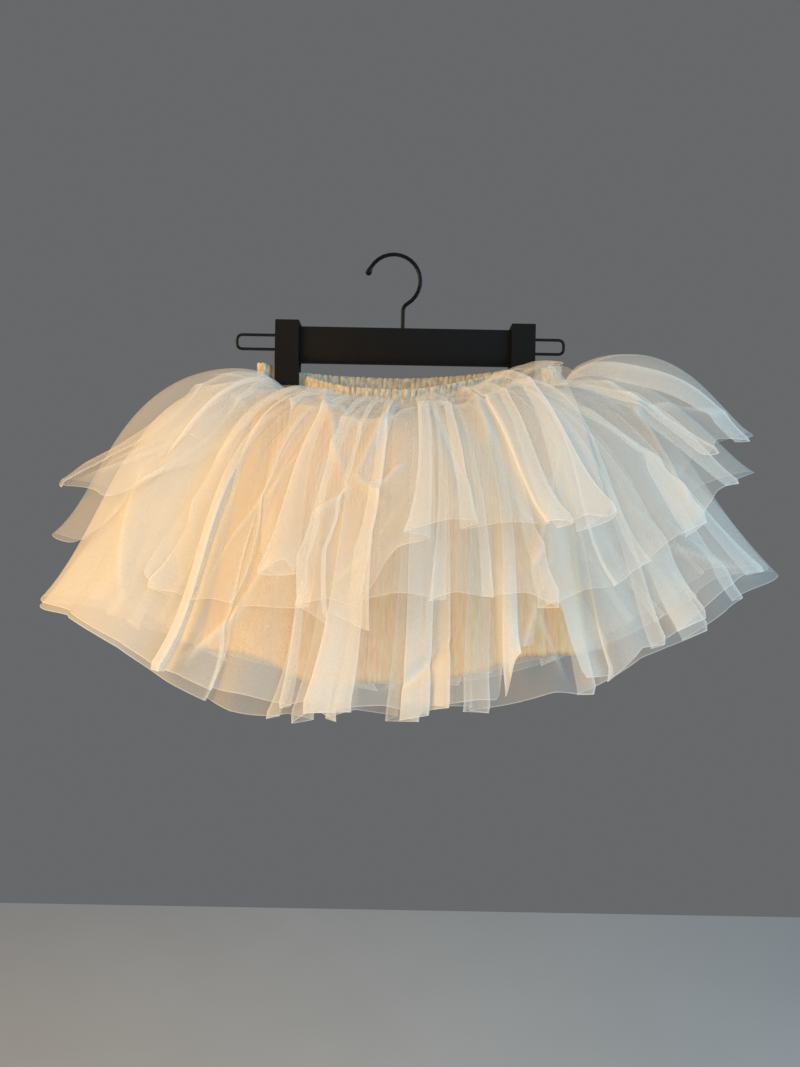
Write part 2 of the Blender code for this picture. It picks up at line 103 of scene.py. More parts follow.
# Each tier by station: right, right front, front, left front, left, left back, back, right back
Tier = namedtuple("Tier", "reach hem_slope seam_slope curve seed")
TIERS = {
    "tulle_4_long_inner": Tier(
        reach=(247, 269, 255, 274, 268, 268, 262, 262),
        hem_slope=(-43, -59, -67.5, -61, -49, -58, -88, -57),
        seam_slope=(-8, -12, -15, -12, -8, -45, -70, -45),
        curve=(2, 2, 2, 2, 2, 2, 2, 2),
        seed=4,
    ),
    "tulle_3_long_outer": Tier(
        reach=(236, 266, 256, 270, 264, 264, 260, 258),
        hem_slope=(-40, -55.5, -64, -57, -47, -55.5, -87, -54),
        seam_slope=(12, 10, 5, 10, 12, -32, -62, -32),
        curve=(2, 2, 2, 2, 2, 2, 2, 2),
        seed=3,
    ),
    "tulle_2_middle": Tier(
        reach=(182, 218, 195, 213, 223, 222, 214, 215),
        hem_slope=(-27, -46, -52.5, -53, -41, -53.5, -85.5, -52),
        seam_slope=(38, 32, 25, 32, 40, -15, -52, -15),
        curve=(1.6, 2, 2, 2, 2, 2, 2, 2),
        seed=2,
    ),
    "tulle_1_outer": Tier(
        reach=(170, 189, 168, 201, 189, 205, 206, 195),
        hem_slope=(-16, -30, -42, -47, -31, -50, -83.5, -48),
        seam_slope=(82, 58, 45, 52, 60, 5, -40, 5),
        curve=(1.5, 1.8, 2, 2.8, 4.0, 2.4, 2, 1.8),
        seed=1,
    ),
}

TULLE_COLUMNS = 1240
TULLE_ROWS = 62
EDGE_STRIP = 0.9


# Curves round the skirt
def smooth_loop(stations, values, turns):
    """Values at the given turns, on a closed curve through the stations that never overshoots them."""
    at = np.append(stations, stations[0] + 1.0)
    height = np.vstack([values, values[:1]])
    width = np.diff(at)[:, None]
    rise = np.diff(height, axis=0) / width
    before = np.roll(rise, 1, axis=0)
    same = before * rise > 0
    total = np.where(same, before + rise, 1.0)
    tangent = np.where(same, 2 * before * rise / total, 0.0)
    tangent = np.vstack([tangent, tangent[:1]])
    place = (np.asarray(turns) - at[0]) % 1.0 + at[0]
    i = np.clip(np.searchsorted(at, place, side="right") - 1, 0, len(width) - 1)
    t = ((place - at[i]) / width[i, 0])[:, None]
    start = (1 + 2 * t) * (1 - t) ** 2 * height[i] + t * (1 - t) ** 2 * width[i] * tangent[i]
    end = t**2 * (3 - 2 * t) * height[i + 1] + t**2 * (t - 1) * width[i] * tangent[i + 1]
    return start + end


def by_length(points, left_row):
    """Turns for the rows of a closed outline: half a turn by length to left_row, and half back."""
    steps = np.linalg.norm(np.diff(np.vstack([points, points[:1]]), axis=0), axis=1)
    along = np.concatenate([[0.0], np.cumsum(steps)])
    front = along[: left_row + 1] / along[left_row] * 0.5
    back = 0.5 + (along[left_row:] - along[left_row]) / (along[-1] - along[left_row]) * 0.5
    return np.concatenate([front, back[1:-1]])


WAIST_TABLE = np.array(WAIST)
WAIST_TURNS = by_length(WAIST_TABLE[:, :2], WAIST_LEFT_ROW)


def waist(turns):
    return smooth_loop(WAIST_TURNS, WAIST_TABLE, turns)


def band_normal(turns):
    """The way straight out of the band's wall in plan."""
    ahead = waist((turns + NORMAL_STEP) % 1.0)[:, :2] - waist((turns - NORMAL_STEP) % 1.0)[:, :2]
    outward = np.column_stack([-ahead[:, 1], ahead[:, 0]])
    return outward / np.linalg.norm(outward, axis=1)[:, None]


def hem_curve():
    """Turns and points of the hem's outline in plan, evenly by length over each half."""
    steps = 400
    angle = np.linspace(0.0, TAU, 2 * steps, endpoint=False)
    across = np.sign(np.cos(angle)) * np.abs(np.cos(angle)) ** HEM_SQUARENESS
    deep = -np.sign(np.sin(angle)) * np.abs(np.sin(angle)) ** HEM_SQUARENESS
    depth = np.where(deep < 0, HEM_FRONT_DEPTH, HEM_BACK_DEPTH)
    points = np.column_stack([HEM_MIDDLE[0] + HEM_HALF_WIDTH * across, HEM_MIDDLE[1] + depth * deep])
    at = np.append(by_length(points, steps), 1.0)
    return at, np.vstack([points, points[:1]])


HEM_AT, HEM_POINTS = hem_curve()


def hem_outline(turns):
    x = np.interp(turns, HEM_AT, HEM_POINTS[:, 0])
    return np.column_stack([x, np.interp(turns, HEM_AT, HEM_POINTS[:, 1])])


def smooth(t):
    t = np.clip(t, 0.0, 1.0)
    return t * t * (3 - 2 * t)


def start_way(turns):
    """The way that the cloth leaves the seam in plan."""
    from_side = np.abs((turns + 0.25) % 0.5 - 0.25)
    angle = 0.5 * math.pi * smooth(from_side / END_TURN)
    side = np.where(np.abs(turns - 0.5) < 0.25, -1.0, 1.0)
    face = np.where(turns < 0.5, -1.0, 1.0)
    return np.column_stack([side * np.cos(angle), face * np.sin(angle)])


def station_values(row, turns):
    values = np.array(row, dtype=float)[:, None]
    return smooth_loop(np.arange(len(row)) / len(row), values, turns)[:, 0]


def front_share(turns):
    """1 at the front and the sides, falling to 0 over the back, where the cloth is pressed flat."""
    return smooth((np.abs(turns - 0.75) - BACK_HALF_TURN) / SIDE_BLEND_TURN)


# Where the net leaves the seam lower, so that the clips and the band's end show: the turn's middle, its
# half width and the degrees
Dip = namedtuple("Dip", "turn half degrees")
CLIP_DIPS = (
    Dip(0.438, 0.020, 52.0),
    Dip(0.022, 0.010, 34.0),
    Dip(0.047, 0.029, 62.0),
    Dip(0.18, 0.05, 14.0),
    Dip(0.30, 0.07, 10.0),
    Dip(0.974, 0.016, 62.0),
)

# A dip counts from where the net leaves the seam at DIP_FROM degrees, and in full DIP_SPAN higher
DIP_FROM = -12.0
DIP_SPAN = 60.0


def seam_dip(turns, seam):
    """How many degrees the net leaves the seam lower, at turns where it would leave it at seam degrees."""
    total = np.zeros_like(turns)
    for dip in CLIP_DIPS:
        total += dip.degrees * np.exp(-(((turns - dip.turn) / dip.half) ** 2))
    return total * np.clip((seam - DIP_FROM) / DIP_SPAN, 0.0, 1.0)


def clip_room(turns):
    near = np.min([np.abs(waist(turns)[:, 0] - x) for x in CLIP_MIDDLES.values()], axis=0)
    return CLIP_STAND * np.clip((CLIP_WIDTH - near) / CLIP_EASE, 0.0, 1.0)


# At the back the net is pressed flat, so little of a fold's lift shows there. Past its reach a tier hangs
# down by DROOP degrees for each further share.
BACK_LIFT = 0.22
DROOP = 42.0
FURTHEST_SHARE = 1.3
LEAST_LEVER = 25.0
STEEPEST_STACK = 0.8


def tier_point(tier, place, turns, radius, lift):
    """Points of a tier at the given turns: radius mm from the seam, lifted out of its surface by lift mm.

    A place of 0 is the lining, and 1 to 4 are the tulle tiers from the inside out.
    """
    turns = turns % 1.0
    hem = np.radians(station_values(tier.hem_slope, turns))
    seam = station_values(tier.seam_slope, turns)
    seam = np.radians(seam - seam_dip(turns, seam))
    curve = station_values(tier.curve, turns)
    share = np.clip(radius / station_values(tier.reach, turns), 0.0, FURTHEST_SHARE)
    facing = front_share(turns)
    slope = hem + (seam - hem) * np.clip(1 - share, 0.0, 1.0) ** curve
    slope = slope + facing * lift / np.maximum(radius, LEAST_LEVER)
    slope = slope - np.radians(DROOP) * np.maximum(share - 1, 0.0)
    seat = waist(turns)
    start_reach = NORMAL_REACH["back"] + (NORMAL_REACH["front"] - NORMAL_REACH["back"]) * facing
    to_hem = hem_outline(turns) - seat[:, :2]
    to_hem /= np.linalg.norm(to_hem, axis=1)[:, None]
    level = radius * np.cos(slope)
    first = start_reach * (1 - np.exp(-level / start_reach))
    lower = np.radians(station_values(tier.seam_slope, turns))
    stand = SEAM_STAND + clip_room(turns) + STACK_PITCH * (place - 1) * np.maximum(0.0, -np.sin(lower))
    rise = STACK_PITCH * (place - 1) * np.minimum(1.0, 1.0 / np.maximum(np.cos(lower), STEEPEST_STACK))
    rise = rise * np.cos(lower)
    if place == 0:
        stand = np.zeros_like(turns)
        rise = np.zeros_like(turns)
    plan = seat[:, :2] + band_normal(turns) * stand[:, None]
    plan = plan + start_way(turns) * first[:, None] + to_hem * (level - first)[:, None]
    sheet = BACK_SHEET + BACK_PITCH * place + BACK_LIFT * lift
    lay = (1 - facing) * smooth(radius / BACK_SETTLE) * (place > 0)
    plan[:, 1] += (sheet - plan[:, 1]) * lay
    height = seat[:, 2] - BAND_HEIGHT - SEAM_DROP + rise + radius * np.sin(slope)
    return np.column_stack([plan, height])


# The knife folds. Lengths are in mm. A fold's hidden edge hangs higher than its crisp one and is softer,
# and a wide panel between two folds bulges.
HEM_TURN = 1400.0
SEAM_TURN = 560.0
MIDDLE_PLY = 0.5
HIDDEN_SHORTER = 3.0
HIDDEN_FOLLOWS = 0.8
FINE_STEPS = 9000
CORNER_BEND = 0.8
CRISP_REACH = 0.9
HIDDEN_CRISP = 0.3
CORNER_REACH = 3.5
CORNER_CLOSER = 2.6
LIFT_BEND = 4.0
CORNER_TURN = 0.02
WIDE_PANEL = 36.0
PANEL_BULGE = (0.04, 0.10)
PANEL_MIDDLE = (0.4, 0.6)
PANEL_LOWER = (-3, 2)
FOLDED_AT_SEAM = 0.44

# Where each knife fold's crisp edge lies at the hem, the mm turned under it, the way it faces
# (1 towards higher turns), how far it stands out and how much lower it hangs, in mm
Pleat = namedtuple("Pleat", "turn under facing lift longer")
PLEATS = {
    "tulle_1_outer": [
        Pleat(0.018, 9, -1, 4, 3),
        Pleat(0.050, 12, -1, 5, 5),
        Pleat(0.096, 10, -1, 4, 2),
        Pleat(0.142, 29, -1, 8, 10),
        Pleat(0.166, 8, -1, 7, 6),
        Pleat(0.181, 8, 1, 7, 2),
        Pleat(0.212, 10, -1, 5, 0),
        Pleat(0.248, 22, 1, 8, 0),
        Pleat(0.262, 19, -1, 6, 50),
        Pleat(0.284, 5, -1, 4, 44),
        Pleat(0.302, 8, 1, 5, 28),
        Pleat(0.325, 24, 1, 8, 6),
        Pleat(0.366, 10, 1, 4, 0),
        Pleat(0.420, 15, 1, 5, 5),
        Pleat(0.458, 7, 1, 4, 0),
        Pleat(0.487, 7, -1, 4, 4),
        Pleat(0.532, 12, -1, 4, 3),
        Pleat(0.574, 17, 1, 5, 5),
        Pleat(0.618, 14, 1, 4, 0),
        Pleat(0.655, 21, -1, 5, 6),
        Pleat(0.704, 15, 1, 4, 2),
        Pleat(0.742, 22, -1, 5, 8),
        Pleat(0.786, 14, -1, 4, 0),
        Pleat(0.828, 19, 1, 5, 5),
        Pleat(0.871, 12, -1, 4, 3),
        Pleat(0.910, 17, 1, 5, 4),
        Pleat(0.952, 10, -1, 4, 2),
    ],
    "tulle_2_middle": [
        Pleat(0.024, 9, -1, 4, 3),
        Pleat(0.058, 19, -1, 6, 7),
        Pleat(0.098, 9, -1, 4, 0),
        Pleat(0.130, 12, 1, 4, 2),
        Pleat(0.166, 15, -1, 7, 10),
        Pleat(0.200, 10, -1, 4, 0),
        Pleat(0.236, 14, 1, 5, 4),
        Pleat(0.270, 15, -1, 5, 7),
        Pleat(0.308, 10, 1, 4, 0),
        Pleat(0.350, 12, -1, 4, 0),
        Pleat(0.396, 9, 1, 4, 3),
        Pleat(0.426, 24, 1, 8, 6),
        Pleat(0.470, 7, 1, 3, 4),
        Pleat(0.528, 12, -1, 4, 3),
        Pleat(0.566, 15, 1, 5, 4),
        Pleat(0.607, 19, -1, 5, 6),
        Pleat(0.650, 12, 1, 4, 0),
        Pleat(0.688, 17, -1, 5, 5),
        Pleat(0.731, 22, 1, 5, 7),
        Pleat(0.775, 12, -1, 4, 0),
        Pleat(0.812, 17, 1, 5, 4),
        Pleat(0.858, 21, -1, 5, 6),
        Pleat(0.902, 10, 1, 4, 2),
        Pleat(0.946, 14, -1, 4, 3),
    ],
    "tulle_3_long_outer": [
        Pleat(0.018, 9, -1, 4, 3),
        Pleat(0.070, 19, -1, 7, 6),
        Pleat(0.094, 10, -1, 6, 5),
        Pleat(0.137, 14, 1, 6, 8),
        Pleat(0.184, 10, -1, 6, 7),
        Pleat(0.193, 9, 1, 6, 6),
        Pleat(0.221, 15, -1, 7, 4),
        Pleat(0.231, 9, -1, 7, 7),
        Pleat(0.250, 19, 1, 7, 10),
        Pleat(0.274, 17, -1, 7, 6),
        Pleat(0.299, 19, 1, 8, 8),
        Pleat(0.316, 9, 1, 5, 4),
        Pleat(0.352, 7, -1, 3, 0),
        Pleat(0.387, 8, -1, 6, 3),
        Pleat(0.394, 8, 1, 6, 4),
        Pleat(0.522, 12, -1, 4, 3),
        Pleat(0.556, 17, 1, 5, 5),
        Pleat(0.593, 12, -1, 4, 2),
        Pleat(0.628, 32, 1, 5, 7),
        Pleat(0.664, 15, -1, 5, 4),
        Pleat(0.702, 30, 1, 5, 6),
        Pleat(0.738, 12, -1, 4, 0),
        Pleat(0.770, 32, -1, 5, 7),
        Pleat(0.808, 14, 1, 4, 3),
        Pleat(0.846, 19, -1, 5, 6),
        Pleat(0.884, 10, 1, 4, 0),
        Pleat(0.920, 15, -1, 5, 4),
        Pleat(0.960, 10, 1, 4, 2),
    ],
    "tulle_4_long_inner": [
        Pleat(0.030, 9, -1, 4, 2),
        Pleat(0.060, 15, -1, 6, 5),
        Pleat(0.131, 15, -1, 6, 6),
        Pleat(0.196, 14, -1, 5, 5),
        Pleat(0.214, 10, 1, 5, 4),
        Pleat(0.238, 15, -1, 6, 9),
        Pleat(0.258, 12, 1, 6, 7),
        Pleat(0.286, 14, -1, 6, 7),
        Pleat(0.312, 15, 1, 6, 8),
        Pleat(0.330, 10, 1, 5, 4),
        Pleat(0.372, 9, -1, 4, 0),
        Pleat(0.534, 14, -1, 4, 3),
        Pleat(0.572, 17, 1, 5, 5),
        Pleat(0.612, 14, -1, 4, 3),
        Pleat(0.648, 30, 1, 5, 6),
        Pleat(0.686, 12, -1, 4, 0),
        Pleat(0.722, 32, 1, 5, 7),
        Pleat(0.758, 14, -1, 4, 3),
        Pleat(0.794, 27, 1, 5, 5),
        Pleat(0.832, 12, -1, 4, 2),
        Pleat(0.868, 19, 1, 5, 6),
        Pleat(0.908, 14, -1, 5, 3),
        Pleat(0.950, 10, 1, 4, 2),
    ],
}

# Creases and ridges, listed one by one: from one turn and share to another, how wide and how high, in mm
Crease = namedtuple("Crease", "turn share to_turn to_share width height")
CREASES = {
    "tulle_1_outer": [
        Crease(0.365, 0.10, 0.284, 0.55, 3.0, 5.0),
        Crease(0.284, 0.55, 0.248, 0.66, 3.0, 4.5),
        Crease(0.302, 0.72, 0.281, 0.58, 3.0, 5.0),
        Crease(0.281, 0.58, 0.262, 0.22, 3.0, 4.5),
        Crease(0.405, 0.60, 0.352, 0.18, 4.0, 4.5),
        Crease(0.186, 0.16, 0.192, 0.62, 3.5, 6.0),
        Crease(0.228, 0.30, 0.214, 0.78, 4.0, -4.0),
        Crease(0.985, 0.16, 0.055, 0.40, 4.0, 3.5),
        Crease(0.020, 0.30, 0.068, 0.78, 4.0, 3.5),
        Crease(0.052, 0.62, 0.010, 0.86, 4.0, 2.5),
        Crease(0.960, 0.30, 0.985, 0.75, 4.0, 5.0),
        Crease(0.930, 0.50, 0.990, 0.40, 4.0, 4.0),
        Crease(0.470, 0.25, 0.485, 0.80, 4.0, 5.0),
        Crease(0.462, 0.35, 0.484, 0.95, 4.0, 4.0),
        Crease(0.508, 0.30, 0.494, 0.95, 4.0, 4.0),
        Crease(0.560, 0.20, 0.620, 0.60, 4.0, 4.0),
        Crease(0.640, 0.25, 0.600, 0.70, 4.0, 4.0),
        Crease(0.720, 0.15, 0.760, 0.55, 4.0, 4.0),
        Crease(0.780, 0.30, 0.730, 0.65, 4.0, 4.0),
        Crease(0.850, 0.20, 0.900, 0.60, 4.0, 4.0),
    ],
    "tulle_2_middle": [
        Crease(0.012, 0.35, 0.062, 0.92, 4.0, 4.0),
        Crease(0.090, 0.40, 0.050, 0.75, 4.0, 5.0),
        Crease(0.130, 0.50, 0.180, 0.90, 4.0, 4.5),
        Crease(0.240, 0.55, 0.290, 0.95, 4.0, -4.0),
        Crease(0.330, 0.45, 0.385, 0.90, 4.0, 4.0),
        Crease(0.440, 0.35, 0.410, 0.80, 4.0, 4.5),
        Crease(0.580, 0.30, 0.630, 0.75, 4.0, 4.0),
        Crease(0.700, 0.40, 0.660, 0.85, 4.0, 4.0),
        Crease(0.790, 0.30, 0.840, 0.80, 4.0, 4.0),
        Crease(0.920, 0.45, 0.880, 0.85, 4.0, 4.0),
    ],
    "tulle_3_long_outer": [
        Crease(0.080, 0.60, 0.040, 0.96, 5.0, 3.0),
        Crease(0.150, 0.62, 0.190, 0.98, 4.0, 5.0),
        Crease(0.215, 0.80, 0.262, 0.96, 4.0, -4.0),
        Crease(0.330, 0.60, 0.372, 0.97, 4.0, 4.0),
        Crease(0.480, 0.50, 0.440, 0.90, 9.0, 6.0),
        Crease(0.590, 0.55, 0.640, 0.95, 4.0, 4.0),
        Crease(0.720, 0.60, 0.680, 0.95, 4.0, 4.0),
        Crease(0.860, 0.55, 0.900, 0.92, 4.0, 4.0),
    ],
    "tulle_4_long_inner": [
        Crease(0.050, 0.65, 0.020, 0.97, 5.0, 3.0),
        Crease(0.170, 0.60, 0.150, 0.97, 5.0, 3.0),
        Crease(0.350, 0.65, 0.400, 0.96, 5.0, 4.0),
        Crease(0.620, 0.60, 0.670, 0.95, 4.0, 4.0),
        Crease(0.810, 0.60, 0.770, 0.95, 4.0, 4.0),
    ],
}

# Where a tier's net is swept aside, so that its hem runs up: the middle, the half width and how far, in mm
Sweep = namedtuple("Sweep", "turn half short")
SWEEPS = {
    "tulle_1_outer": (Sweep(0.396, 0.056, 146.0), Sweep(0.100, 0.035, 120.0), Sweep(0.600, 0.030, 40.0)),
    "tulle_2_middle": (Sweep(0.454, 0.020, 120.0), Sweep(0.890, 0.030, 50.0)),
    "tulle_3_long_outer": (Sweep(0.159, 0.010, 58.0), Sweep(0.178, 0.013, 34.0)),
    "tulle_4_long_inner": (),
}

# Where a tier's net is bunched, so that it looks denser: the turn's middle, its half width, the share
# from which it does and how much denser it is
Bunch = namedtuple("Bunch", "turn half start denser")
BUNCHES = {
    "tulle_1_outer": (
        Bunch(0.252, 0.010, 0.40, 0.10),
        Bunch(0.180, 0.008, 0.15, 0.22),
    ),
    "tulle_2_middle": (
        Bunch(0.425, 0.018, 0.40, 0.14),
        Bunch(0.060, 0.008, 0.30, 0.12),
    ),
    "tulle_3_long_outer": (
        Bunch(0.462, 0.062, 0.30, 0.34),
        Bunch(0.391, 0.009, 0.45, 0.30),
        Bunch(0.345, 0.032, 0.50, 0.10),
        Bunch(0.288, 0.014, 0.50, 0.42),
        Bunch(0.235, 0.015, 0.50, 0.36),
        Bunch(0.183, 0.007, 0.60, 0.30),
        Bunch(0.146, 0.012, 0.45, 0.36),
        Bunch(0.186, 0.006, 0.55, 0.30),
        Bunch(0.115, 0.011, 0.30, 0.22),
        Bunch(0.082, 0.007, 0.50, 0.18),
        Bunch(0.620, 0.020, 0.40, 0.15),
        Bunch(0.770, 0.020, 0.40, 0.15),
    ),
    "tulle_4_long_inner": (
        Bunch(0.452, 0.066, 0.30, 0.30),
        Bunch(0.350, 0.036, 0.50, 0.12),
        Bunch(0.291, 0.015, 0.50, 0.30),
        Bunch(0.236, 0.015, 0.50, 0.26),
        Bunch(0.122, 0.014, 0.40, 0.14),
        Bunch(0.700, 0.030, 0.40, 0.12),
    ),
}

# The seam's gathers: how many round the skirt, how deep, how far they lean over, the mm over which they
# fade and form below the seam, and the waves that make their spacing and size uneven
Gathers = namedtuple("Gathers", "count depth lean fade form shift shift_count size_count size_seed")
FINE_GATHERS = Gathers(118, 2.0, 3.2, 50.0, 5.0, 3, 17, 31, 2)
SOFT_GATHERS = Gathers(58, 3.0, 2.0, 95.0, 12.0, 4, 7, 13, 3)
UNEVENNESS = 0.4


def gather_phase(gathers, cloth, seed):
    return TAU * gathers.count * cloth + gathers.shift * np.sin(TAU * gathers.shift_count * cloth + seed)


def gather_lean(gathers, cloth, seed, radius):
    """How far the gathers lean round the skirt, as a turn."""
    wave = np.sin(gather_phase(gathers, cloth, seed))
    return gathers.lean * wave / (TAU * gathers.count) * np.exp(-radius / gathers.fade)


def gather_lift(gathers, cloth, seed, radius):
    """How far the gathers stand out, in mm."""
    size = np.sin(TAU * gathers.size_count * cloth + gathers.size_seed * seed)
    wave = np.cos(gather_phase(gathers, cloth, seed)) * (1 - UNEVENNESS + UNEVENNESS * size)
    return gathers.depth * wave * np.exp(-radius / gathers.fade) * smooth(radius / gathers.form)


def soft_loop(values, bend):
    """A closed run of evenly spaced values, smoothed over bend steps."""
    waves = np.fft.rfft(values)
    kept = np.exp(-0.5 * (TAU * np.fft.rfftfreq(len(values)) * bend) ** 2)
    return np.fft.irfft(waves * kept, len(values))


def pleat_track(name, seed, columns):
    """Each column's share of the cloth, its turn at the hem when folded, lift, extra length, crispness."""
    random = np.random.RandomState(seed)
    corners = []
    for pleat in PLEATS[name]:
        edge = (pleat.turn * HEM_TURN, pleat.lift, pleat.longer)
        hidden_longer = HIDDEN_FOLLOWS * pleat.longer - HIDDEN_SHORTER
        hidden = (edge[0] - pleat.facing * pleat.under, -pleat.lift * MIDDLE_PLY, hidden_longer)
        corners += [edge, hidden] if pleat.facing > 0 else [hidden, edge]
    spots = []
    for i, corner in enumerate(corners):
        spots.append(corner)
        after = corners[(i + 1) % len(corners)]
        wide = after[0] - corner[0] if i + 1 < len(corners) else after[0] + HEM_TURN - corner[0]
        if wide > WIDE_PANEL:
            bulge = random.uniform(*PANEL_BULGE) * wide
            middle = (corner[1] + after[1]) / 2 + bulge
            at = corner[0] + wide * random.uniform(*PANEL_MIDDLE)
            spots.append((at, middle, random.uniform(*PANEL_LOWER)))
    spots.append((spots[0][0] + HEM_TURN, spots[0][1], spots[0][2]))
    spots = np.array(spots)
    along = np.concatenate([[0.0], np.cumsum(np.abs(np.diff(spots[:, 0])))])
    length = along[-1]
    fine = np.arange(FINE_STEPS) / FINE_STEPS * length
    step = length / FINE_STEPS
    drift = np.interp(fine, along, spots[:, 0]) - fine * HEM_TURN / length
    folded = fine / length + soft_loop(drift, CORNER_BEND / step) / HEM_TURN
    lift = soft_loop(np.interp(fine, along, spots[:, 1]), LIFT_BEND / step)
    longer = soft_loop(np.interp(fine, along, spots[:, 2]), 2 * CORNER_BEND / step)
    turning = np.abs((np.roll(folded, -1) - folded) * HEM_TURN - (folded - np.roll(folded, 1)) * HEM_TURN)
    turning[[0, -1]] = 0.0
    is_corner = (turning > CORNER_TURN * step).astype(float)
    corner = soft_loop(is_corner, CORNER_REACH / step)
    weight = 1.0 + CORNER_CLOSER * np.clip(corner / corner.max(), 0.0, 1.0)
    share = np.concatenate([[0.0], np.cumsum(weight)]) / weight.sum()
    at = np.interp(np.arange(columns) / columns, share, np.arange(FINE_STEPS + 1) / FINE_STEPS * length)
    crisp = soft_loop(is_corner, CRISP_REACH / step)
    crisp = np.clip(crisp / crisp.max(), 0.0, 1.0) * np.where(lift > 0, 1.0, HIDDEN_CRISP)
    picked = [np.interp(at, fine, values) for values in (folded, lift, longer, crisp)]
    return at / length, *picked


# A crease draws the net in beside it, and shows as a denser line down its middle
CREASE_DRAW = 0.3
CREASE_LINE = 3.0
CREASE_WIDER = 1.35
CREASE_FADE = 0.25
CREASE_START = 0.25
SWEEP_EDGE = 6
BUNCH_EDGE = 4
BUNCH_FORM = 0.25


def crease_lift(name, turns, share):
    """How far the creases lift the cloth, draw it in along the turn and the radius, and thicken it."""
    total = np.zeros_like(turns)
    pull_x = np.zeros_like(turns)
    pull_y = np.zeros_like(turns)
    dense = np.zeros_like(turns)
    around = SEAM_TURN + (HEM_TURN - SEAM_TURN) * share
    reach = np.mean(TIERS[name].reach)
    for crease in CREASES[name]:
        middle = (crease.turn + crease.to_turn) / 2
        x = ((turns - middle + 0.5) % 1.0 - 0.5) * around
        y = share * reach
        half = (crease.to_turn - crease.turn) / 2 * around
        y_start = crease.share * reach
        y_end = crease.to_share * reach
        run_x = 2 * half
        run_y = y_end - y_start
        length = np.sqrt(run_x**2 + run_y**2)
        along = ((x + half) * run_x + (y - y_start) * run_y) / length**2
        across = ((x + half) * run_y - (y - y_start) * run_x) / length
        ends = smooth(np.minimum(along, 1 - along) / CREASE_FADE + CREASE_START)
        near = np.exp(-((across / (CREASE_WIDER * crease.width)) ** 2))
        total += crease.height * near * ends
        draw = CREASE_DRAW * across * near * ends
        pull_x -= draw * run_y / length
        pull_y += draw * run_x / length
        dense = np.maximum(dense, np.exp(-((across / CREASE_LINE) ** 2)) * ends)
    return total, pull_x / around, pull_y, dense


# How much denser the net looks at the seam, the folds' crisp edges, the creases and the hem's cut edge
THICKNESS = "net_thickness"
SEAM_THICK = 0.60
SEAM_THICK_FADE = 11.0
CRISP_THICK = 0.38
CREASE_THICK = 0.26
HEM_THICK = 0.55


def swept(name, turns):
    """How far the hem runs up, in mm."""
    total = np.zeros_like(turns)
    for sweep in SWEEPS[name]:
        total += sweep.short * np.exp(-(((turns - sweep.turn) / sweep.half) ** SWEEP_EDGE))
    return total


def bunched_thick(name, turns, share):
    """How much denser the net is where it is bunched."""
    total = np.zeros_like(turns)
    for bunch in BUNCHES[name]:
        off = (turns - bunch.turn + 0.5) % 1.0 - 0.5
        started = smooth((share - bunch.start) / BUNCH_FORM + 0.5)
        total += bunch.denser * np.exp(-((off / bunch.half) ** BUNCH_EDGE)) * started
    return total


# Waves in the net: how many round the skirt, how high, how far they slant from seam to hem, and how fast
# they grow from the seam. The sways shift the net round the skirt, and the swells stand it out.
Wave = namedtuple("Wave", "count height slant growth", defaults=(0.0, 1.0))
BROAD_SWAY = Wave(5, 0.0032, 2.5)
SMALL_SWAY = Wave(23, 0.0012, 5.0)
SWELLS = (Wave(4, 3.0, 4.5, 1.5), Wave(11, 1.6, -7.0, 2.0), Wave(37, 0.8, 9.0, 2.0))
HEM_SWELL = Wave(9, 2.5, 0.0, 5.0)
WAVE_SHIFTS = 8
FOLD_GROWTH = 1.3
FOLD_OPENING = 1.1
CRISP_GROWTH = 2.5
ROW_SPACING = 0.9
FIRST_SEED = 40


def ripple(wave, cloth, share=0.0, shift=0.0):
    return wave.height * np.sin(TAU * wave.count * cloth + shift + wave.slant * share)


